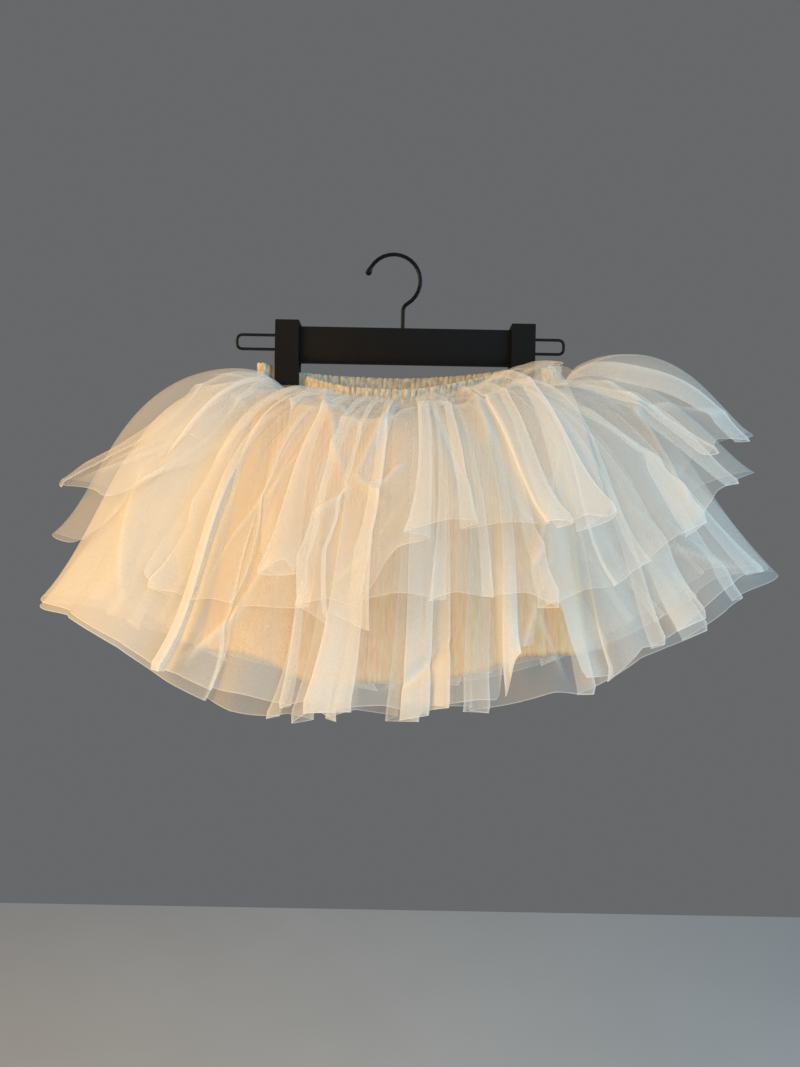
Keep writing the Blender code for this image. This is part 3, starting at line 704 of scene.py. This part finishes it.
def make_tier(name, place, material):
    """A tier of net: knife folds, gathers, swells, creases, and how dense the net looks at each point."""
    tier = TIERS[name]
    columns = TULLE_COLUMNS
    random = np.random.RandomState(tier.seed + FIRST_SEED)
    cloth, folded, fold_lift, longer, crisp = pleat_track(name, tier.seed, columns)
    shifts = random.uniform(0, TAU, WAVE_SHIFTS)
    full = station_values(tier.reach, folded % 1.0) + longer
    reach = full - swept(name, folded % 1.0)
    shares = np.append(np.linspace(0, 1, TULLE_ROWS - 1) ** ROW_SPACING, 1.0)
    points = np.zeros((columns, TULLE_ROWS, 3))
    thickness = np.zeros((columns, TULLE_ROWS))
    for row in range(TULLE_ROWS):
        radius = (reach - EDGE_STRIP) * shares[row]
        if row == TULLE_ROWS - 1:
            radius = reach
        share = radius / full
        opened = FOLDED_AT_SEAM + (1 - FOLDED_AT_SEAM) * share**FOLD_OPENING
        turns = cloth + (folded - cloth) * opened
        turns = turns + ripple(BROAD_SWAY, cloth, share, shifts[0]) * np.sin(math.pi * share)
        turns = turns + ripple(SMALL_SWAY, cloth, share, shifts[1]) * share
        for gathers in (FINE_GATHERS, SOFT_GATHERS):
            turns = turns + gather_lean(gathers, cloth, tier.seed, radius)
        lift = fold_lift * smooth(share * FOLD_GROWTH)
        for swell, shift in zip(SWELLS, shifts[2:]):
            lift = lift + ripple(swell, cloth, share, shift) * smooth(share * swell.growth)
        lift = lift + ripple(HEM_SWELL, cloth, share, shifts[5]) * share**HEM_SWELL.growth
        for gathers in (FINE_GATHERS, SOFT_GATHERS):
            lift = lift + gather_lift(gathers, cloth, tier.seed, radius)
        raised, drawn_turn, drawn_down, line = crease_lift(name, turns, share)
        lift = lift + raised
        thick = SEAM_THICK * np.exp(-radius / SEAM_THICK_FADE)
        thick = thick + CRISP_THICK * crisp * smooth(share * CRISP_GROWTH)
        thick = thick + CREASE_THICK * line + bunched_thick(name, turns, share)
        if row == TULLE_ROWS - 1:
            thick = thick + HEM_THICK
        thickness[:, row] = np.clip(thick, 0.0, 1.0)
        points[:, row] = tier_point(tier, place, turns + drawn_turn, radius + drawn_down, lift)
    made = sheet_object(name + "_net", points, material)
    layer = made.data.attributes.new(THICKNESS, "FLOAT", "POINT")
    layer.data.foreach_set("value", thickness.astype(np.float32).ravel())
    return made


def sheet_object(name, points, material):
    """A single open surface round the skirt, from columns of points."""
    columns, rows = points.shape[:2]
    here = np.arange(columns)[:, None] * rows + np.arange(rows - 1)
    ahead = (np.arange(columns)[:, None] + 1) % columns * rows + np.arange(rows - 1)
    faces = np.stack([here, ahead, ahead + 1, here + 1], axis=-1).reshape(-1, 4)
    mesh = bpy.data.meshes.new(name)
    mesh.from_pydata((points.reshape(-1, 3) * MM).tolist(), [], faces.tolist())
    mesh.materials.append(material)
    mesh.shade_smooth()
    mesh.update()
    ob = bpy.data.objects.new(name, mesh)
    bpy.context.scene.collection.objects.link(ob)
    return ob


# The lining, its soft waves, and the fine crinkles that wander and differ in size
LINING = Tier(
    reach=(237, 236, 229, 238, 239, 243, 245, 243),
    hem_slope=(-84, -82, -82.7, -80, -79.3, -86, -88.8, -87),
    seam_slope=(-82, -82, -82, -82, -82, -84, -86, -84),
    curve=(2, 2, 2, 2, 2, 2, 2, 2),
    seed=9,
)
LINING_COLUMNS = 1320
LINING_ROWS = 36
LINING_WAVES = 14
LINING_WAVE_DEPTH = 3.0
LINING_WAVE_SLANT = 0.8
LINING_WAVE_GROWTH = 1.6
LINING_WANDER = Wave(5, 1.3)
LINING_HEM = Wave(23, 0.9)
CRINKLES = 132
CRINKLE_DEPTH = 2.2
CRINKLE_ROUNDNESS = 0.8
CRINKLE_LEVEL = 0.6
CRINKLE_WANDER = (Wave(19, 1.6, 3.0), Wave(47, 0.7, -7.0))
CRINKLE_SIZE = Wave(29, 0.25, 6.0)
HEM_TURN_UNDER = 2
UNDER_IN = 1.6
UNDER_UP = 2.5


def make_lining(material):
    """The crinkled knit tube: soft waves with fine upright crinkles that wander a little."""
    cloth = np.arange(LINING_COLUMNS) / LINING_COLUMNS
    reach = station_values(LINING.reach, cloth)
    points = np.zeros((LINING_COLUMNS, LINING_ROWS + HEM_TURN_UNDER, 3))
    for row in range(LINING_ROWS + HEM_TURN_UNDER):
        share = min(row / (LINING_ROWS - 1), 1.0)
        under = max(0, row - LINING_ROWS + 1)
        wave = TAU * LINING_WAVES * cloth + ripple(LINING_WANDER, cloth) + LINING_WAVE_SLANT * share
        phase = 0.5 * TAU * CRINKLES * cloth
        for wander in CRINKLE_WANDER:
            phase = phase + ripple(wander, cloth, share)
        crinkle = np.abs(np.cos(phase)) ** CRINKLE_ROUNDNESS
        size = 1 - CRINKLE_SIZE.height + ripple(CRINKLE_SIZE, cloth, share)
        lift = LINING_WAVE_DEPTH * np.sin(wave) * smooth(share * LINING_WAVE_GROWTH)
        lift = lift + CRINKLE_DEPTH * (crinkle - CRINKLE_LEVEL) * size - UNDER_IN * under
        radius = reach * share + ripple(LINING_HEM, cloth) * share - UNDER_UP * under
        points[:, row] = tier_point(LINING, 0, cloth, radius, lift)
    return sheet_object("lining_knit_tube", points, material)


# The band's ruching: rounded lobes, flatter half way down, which lean and wander and differ in size
BAND_GATHERS = 90
BAND_COLUMNS = 1260
BAND_LEAN = Wave(3, 1.1)
BAND_LEAN_SHIFT = 0.6
BAND_WANDER = Wave(21, 0.9)
LOBE_DEPTH = 2.8
LOBE_ROUNDNESS = 0.42
LOBE_LEVEL = 0.45
LOBE_SIZE = Wave(33, 0.2)
LOBE_SIZE_SHIFT = 1.1
LOBE_WAIST = 0.25
INNER_LOBES = 0.8
WALL_FULL = 0.5
RIM_HEIGHT = 1.3
RIM_LEVEL = 0.6
RIM_FADE = 2.0
GATHER_EASE = (2.0, 6.0)

# Points round the band's section: mm out from the middle of its wall, and mm down from its top
BAND_SECTION = (
    (0.8, 22.0),
    (0.8, 18.0),
    (0.8, 13.0),
    (0.8, 8.0),
    (0.8, 4.0),
    (0.75, 1.8),
    (0.55, 0.6),
    (0.2, 0.05),
    (-0.2, 0.05),
    (-0.55, 0.6),
    (-0.75, 1.8),
    (-0.8, 4.0),
    (-0.8, 8.0),
    (-0.8, 13.0),
    (-0.8, 18.0),
    (-0.8, 22.0),
)


def make_waistband(material):
    """The ruched tube: rounded upright gathers with dark slits between them, flat inside the clips."""
    turns = np.arange(BAND_COLUMNS) / BAND_COLUMNS
    seat = waist(turns)
    outward = band_normal(turns)
    free = np.ones(len(turns))
    for middle in CLIP_MIDDLES.values():
        from_clip = np.abs(seat[:, 0] - middle) - CLIP_WIDTH / 2
        free = np.minimum(free, np.clip((from_clip - GATHER_EASE[0]) / GATHER_EASE[1], 0.0, 1.0))
    points = np.zeros((BAND_COLUMNS, len(BAND_SECTION), 3))
    for row, (out, down) in enumerate(BAND_SECTION):
        lean = ripple(BAND_LEAN, turns, shift=BAND_LEAN_SHIFT) * down / BAND_HEIGHT
        phase = 0.5 * TAU * BAND_GATHERS * turns + ripple(BAND_WANDER, turns) + lean
        lobe = np.abs(np.cos(phase)) ** LOBE_ROUNDNESS
        size = 1 - LOBE_SIZE.height + ripple(LOBE_SIZE, turns, shift=LOBE_SIZE_SHIFT)
        size = size * free
        fullness = 1 - LOBE_WAIST + LOBE_WAIST * math.cos(TAU * down / BAND_HEIGHT)
        side = 1.0 if out > 0 else -INNER_LOBES
        swell = side * LOBE_DEPTH * (lobe - LOBE_LEVEL) * size * fullness * min(1.0, abs(out) / WALL_FULL)
        rim = RIM_HEIGHT * (lobe - RIM_LEVEL) * size * math.exp(-down / RIM_FADE)
        points[:, row, :2] = seat[:, :2] + outward * (out + swell)[:, None]
        points[:, row, 2] = seat[:, 2] - down + rim
    return sheet_object("waistband_ruched", points, material)


# Materials
def new_material(name):
    made = bpy.data.materials.new(name)
    made.use_nodes = True
    nodes = made.node_tree.nodes
    return made, nodes, made.node_tree.links, nodes["Principled BSDF"]


# How much the net covers where it is thin, on the short and the long tiers, and where it is dense
SHORT_ALPHA = 0.22
LONG_ALPHA = 0.20
DENSE_ALPHA = 0.90

# How fine each surface's noise is
NET_GRAIN = 620.0
YARN_GRAIN = 420.0
FUZZ_GRAIN = 1500.0
HARD_GRAIN = 900.0
SMUDGE_GRAIN = 45.0
PAINT_GRAIN = 3.0


def add_noise(nodes, links, scale, detail, stretch=(1, 1, 1)):
    """A noise in the object's own metres, stretched along its axes."""
    where = nodes.new("ShaderNodeTexCoord")
    mapping = nodes.new("ShaderNodeMapping")
    mapping.inputs["Scale"].default_value = stretch
    noise = nodes.new("ShaderNodeTexNoise")
    noise.inputs["Scale"].default_value = scale
    noise.inputs["Detail"].default_value = detail
    links.new(where.outputs["Object"], mapping.inputs["Vector"])
    links.new(mapping.outputs["Vector"], noise.inputs["Vector"])
    return noise


def add_colours(nodes, links, noise, shader, dark, light, low=0.35, high=0.65):
    ramp = nodes.new("ShaderNodeValToRGB")
    ramp.color_ramp.elements[0].position = low
    ramp.color_ramp.elements[0].color = (*dark, 1)
    ramp.color_ramp.elements[1].position = high
    ramp.color_ramp.elements[1].color = (*light, 1)
    links.new(noise.outputs["Fac"], ramp.inputs["Fac"])
    links.new(ramp.outputs["Color"], shader.inputs["Base Color"])


def add_bump(nodes, links, noise, shader, strength, depth):
    bump = nodes.new("ShaderNodeBump")
    bump.inputs["Strength"].default_value = strength
    bump.inputs["Distance"].default_value = depth
    links.new(noise.outputs["Fac"], bump.inputs["Height"])
    links.new(bump.outputs["Normal"], shader.inputs["Normal"])


def add_roughness(nodes, links, noise, shader, low, high):
    span = nodes.new("ShaderNodeMapRange")
    span.inputs["To Min"].default_value = low
    span.inputs["To Max"].default_value = high
    links.new(noise.outputs["Fac"], span.inputs["Value"])
    links.new(span.outputs["Result"], shader.inputs["Roughness"])


def tulle_material(name, thin):
    """Fine net: see-through, and denser where its thickness says so."""
    made, nodes, links, shader = new_material(name)
    thickness = nodes.new("ShaderNodeAttribute")
    thickness.attribute_name = THICKNESS
    span = nodes.new("ShaderNodeMapRange")
    span.inputs["To Min"].default_value = thin
    span.inputs["To Max"].default_value = DENSE_ALPHA
    links.new(thickness.outputs["Fac"], span.inputs["Value"])
    links.new(span.outputs["Result"], shader.inputs["Alpha"])
    threads = add_noise(nodes, links, NET_GRAIN, 2.0)
    add_colours(nodes, links, threads, shader, (0.92, 0.86, 0.77), (0.99, 0.94, 0.86))
    shader.inputs["Roughness"].default_value = 0.75
    shader.inputs["Specular IOR Level"].default_value = 0.25
    return made


def knit_material(name, dark, light, stretch, bump):
    made, nodes, links, shader = new_material(name)
    yarn = add_noise(nodes, links, YARN_GRAIN, 3.0, stretch)
    add_colours(nodes, links, yarn, shader, dark, light)
    fuzz = add_noise(nodes, links, FUZZ_GRAIN, 2.0)
    add_bump(nodes, links, fuzz, shader, bump, 0.0006)
    shader.inputs["Roughness"].default_value = 0.9
    shader.inputs["Specular IOR Level"].default_value = 0.2
    return made


def black_material(name, colour, low, high, bump):
    made, nodes, links, shader = new_material(name)
    grain = add_noise(nodes, links, HARD_GRAIN, 3.0)
    add_colours(nodes, links, grain, shader, colour, tuple(1.5 * part for part in colour))
    add_bump(nodes, links, grain, shader, bump, 0.0002)
    smudge = add_noise(nodes, links, SMUDGE_GRAIN, 2.0)
    add_roughness(nodes, links, smudge, shader, low, high)
    shader.inputs["Specular IOR Level"].default_value = 0.12
    return made


def paint_material(name, colour):
    made, nodes, links, shader = new_material(name)
    mottle = add_noise(nodes, links, PAINT_GRAIN, 3.0)
    add_colours(nodes, links, mottle, shader, tuple(0.96 * part for part in colour), colour)
    shader.inputs["Roughness"].default_value = 0.9
    return made


BLACK = (0.005, 0.005, 0.0055)

short_net = tulle_material("tulle_net_short", SHORT_ALPHA)
long_net = tulle_material("tulle_net_long", LONG_ALPHA)
lining_knit = knit_material("lining_knit", (0.90, 0.56, 0.26), (1.0, 0.73, 0.38), (1, 1, 0.12), 0.5)
band_knit = knit_material("band_knit", (0.45, 0.39, 0.30), (0.72, 0.65, 0.52), (1, 1, 0.5), 0.5)
black_plastic = black_material("black_plastic", BLACK, 0.62, 0.78, 0.25)
black_wire = black_material("black_wire", BLACK, 0.22, 0.36, 0.1)

for place, name in enumerate(TIERS):
    tier = make_tier(name, place + 1, long_net if "long" in name else short_net)
    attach(tier, "root")
    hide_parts(name)

lining = make_lining(lining_knit)
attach(lining, "root")
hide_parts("lining")

band = make_waistband(band_knit)
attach(band, "root")
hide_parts("waistband")

# The hanger keeps the frame's own forms, with softer edges
EDGE_ROUND = 0.6
CLIP_NECK = 3.6
CLIP_PLATE = 9.8
CLIP_SHOULDER = -100.0
ROUNDED = ("hanger_bar", "clip_left", "clip_right", "clip_left_jaw", "clip_right_jaw")
WIRES = ("hanger_hook", "wire_loop_left", "wire_loop_right")
SHARP = math.radians(35)
SAME_PLACE = 1e-6


def rounded_copy(name):
    """A copy of a frame node's form whose sharp edges are rounded."""
    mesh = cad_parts[name].data.copy()
    form = bmesh.new()
    form.from_mesh(mesh)
    bmesh.ops.remove_doubles(form, verts=form.verts, dist=SAME_PLACE)
    form.to_mesh(mesh)
    form.free()
    if name.startswith("clip"):
        for corner in mesh.vertices:
            if abs(corner.co.y) > CLIP_NECK * MM and corner.co.z < CLIP_SHOULDER * MM:
                corner.co.y = math.copysign(CLIP_PLATE * MM, corner.co.y)
    mesh.materials.clear()
    mesh.materials.append(black_plastic)
    ob = bpy.data.objects.new(name + "_moulded", mesh)
    bpy.context.scene.collection.objects.link(ob)
    ob.matrix_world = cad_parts[name].matrix_world.copy()
    bevel = ob.modifiers.new("edges", "BEVEL")
    bevel.width = EDGE_ROUND * MM
    bevel.segments = 3
    bevel.limit_method = "ANGLE"
    bevel.angle_limit = SHARP
    bevel.harden_normals = True
    mesh.shade_smooth()
    mesh.set_sharp_from_angle(angle=SHARP)
    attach(ob, "root")
    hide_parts(name)


for name in ROUNDED:
    rounded_copy(name)
for name in WIRES:
    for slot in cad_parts[name].material_slots:
        slot.material = black_wire


# Stage, light and camera
CAMERA_PLACE = (0.0073, -0.73, -0.2523)
CAMERA_ROLL = math.radians(1.04)
CAMERA_ANGLE = math.radians(67.3)
FLOOR_HEIGHT = -1.30
FLOOR_HALF = 1.5
AMBIENT_COLOUR = (0.70, 0.76, 0.84, 1)
AMBIENT_STRENGTH = 0.27
BACKDROP_COLOUR = (0.135, 0.14, 0.145, 1)

Lamp = namedtuple("Lamp", "name place aim size watts colour")
LAMPS = (
    Lamp("key", (-1.15, -0.72, 0.15), (-0.15, 0.0, -0.3), 0.9, 19.5, (1.0, 0.60, 0.19)),
    Lamp("fill", (1.5, -0.9, 0.3), (0.25, 0.0, -0.3), 1.4, 25, (0.25, 0.66, 1.0)),
    Lamp("front", (0.0, -1.5, -0.75), (0.0, 0.0, -0.38), 1.0, 7, (1.0, 0.81, 0.56)),
    Lamp("top", (0.1, -0.4, 1.6), (0.0, 0.0, -0.2), 1.2, 5, (0.90, 0.96, 1.0)),
)


def make_camera():
    data = bpy.data.cameras.new("camera")
    data.sensor_fit = "VERTICAL"
    data.angle = CAMERA_ANGLE
    camera = bpy.data.objects.new("camera", data)
    bpy.context.scene.collection.objects.link(camera)
    turn = Matrix.Rotation(math.radians(90), 4, "X") @ Matrix.Rotation(CAMERA_ROLL, 4, "Z")
    camera.matrix_world = Matrix.Translation(CAMERA_PLACE) @ turn
    bpy.context.scene.camera = camera


def make_light(lamp):
    data = bpy.data.lights.new(lamp.name, "AREA")
    data.size = lamp.size
    data.energy = lamp.watts
    data.color = lamp.colour
    light = bpy.data.objects.new(lamp.name, data)
    bpy.context.scene.collection.objects.link(light)
    way = Vector(lamp.aim) - Vector(lamp.place)
    light.rotation_euler = way.to_track_quat("-Z", "Y").to_euler()
    light.location = lamp.place


def make_world():
    """Pale light from all round, and a plain grey backdrop behind it."""
    world = bpy.data.worlds.new("studio")
    bpy.context.scene.world = world
    world.use_nodes = True
    nodes = world.node_tree.nodes
    links = world.node_tree.links
    background = nodes["Background"]
    background.inputs["Color"].default_value = AMBIENT_COLOUR
    background.inputs["Strength"].default_value = AMBIENT_STRENGTH
    seen = nodes.new("ShaderNodeBackground")
    seen.inputs["Color"].default_value = BACKDROP_COLOUR
    mix = nodes.new("ShaderNodeMixShader")
    path = nodes.new("ShaderNodeLightPath")
    links.new(path.outputs["Is Camera Ray"], mix.inputs[0])
    links.new(background.outputs[0], mix.inputs[1])
    links.new(seen.outputs[0], mix.inputs[2])
    links.new(mix.outputs[0], nodes["World Output"].inputs["Surface"])


def make_floor():
    mesh = bpy.data.meshes.new("floor")
    half = FLOOR_HALF
    corners = [(-half, -half, FLOOR_HEIGHT), (half, -half, FLOOR_HEIGHT)]
    corners += [(half, half, FLOOR_HEIGHT), (-half, half, FLOOR_HEIGHT)]
    mesh.from_pydata(corners, [], [(0, 1, 2, 3)])
    mesh.materials.append(paint_material("floor_paint", (0.66, 0.65, 0.63)))
    floor = bpy.data.objects.new("floor", mesh)
    bpy.context.scene.collection.objects.link(floor)


make_camera()
make_world()
make_floor()
for lamp in LAMPS:
    make_light(lamp)

bpy.context.scene.view_settings.view_transform = "Standard"
cycles = bpy.context.scene.cycles
cycles.transparent_max_bounces = 48
cycles.max_bounces = 6
cycles.diffuse_bounces = 3
